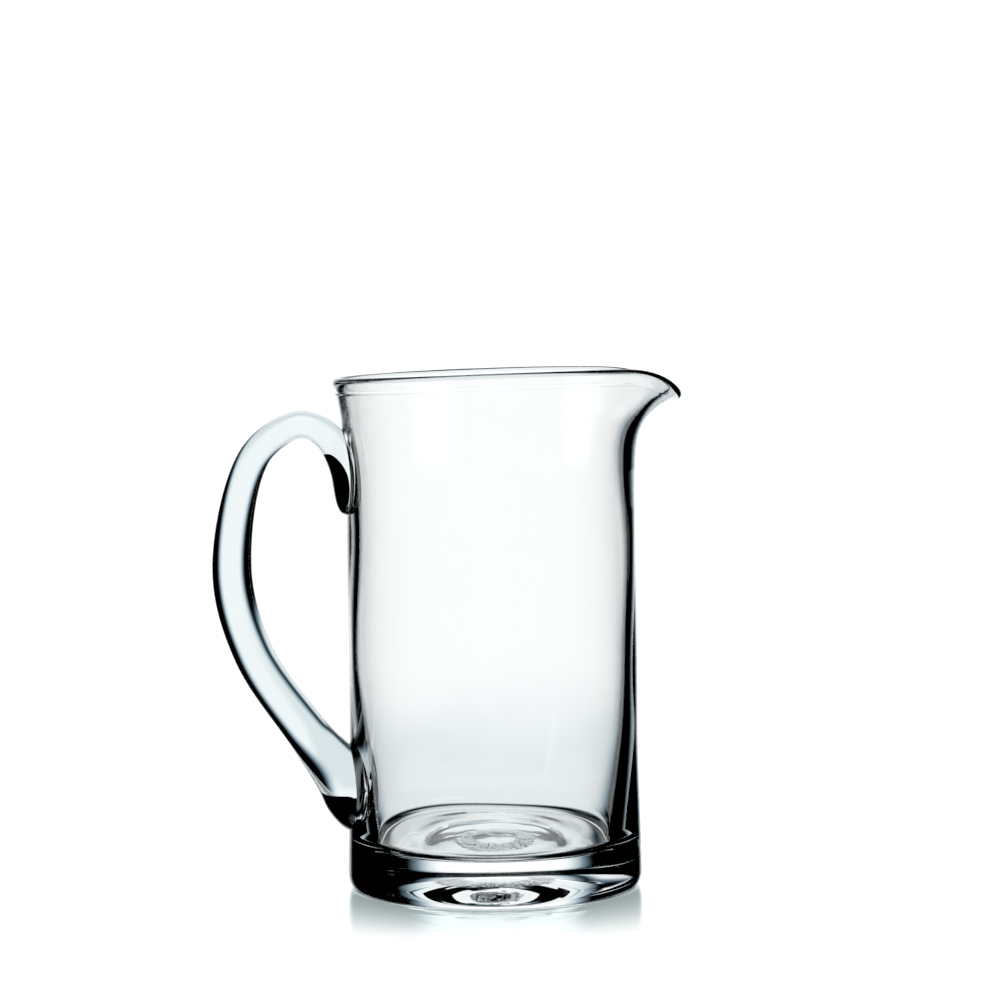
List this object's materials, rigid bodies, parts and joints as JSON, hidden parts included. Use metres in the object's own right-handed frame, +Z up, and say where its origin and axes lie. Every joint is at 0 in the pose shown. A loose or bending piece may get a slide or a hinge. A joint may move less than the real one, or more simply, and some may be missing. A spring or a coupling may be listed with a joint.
{
  "type": "glass pitcher",
  "caption": "Hand-blown clear glass pitcher: round body with a pulled spout, flared rim, heavy base and an applied loop handle.",
  "frame": {"origin": "on the resting plane, under the middle of the pitcher's length and width", "axes": "+Z up, +X towards the spout, -X towards the handle"},
  "size_m": [0.1736, 0.1158, 0.1908],
  "materials": {
    "clear_glass": "fire-polished, smooth and clear",
    "broken_glass": "cracked off, rough and glossy"
  },
  "bodies": {
    "root": {"vessel": "clear_glass", "handle": "clear_glass", "pontil_scar": "broken_glass"}
  },
  "joints": []
}
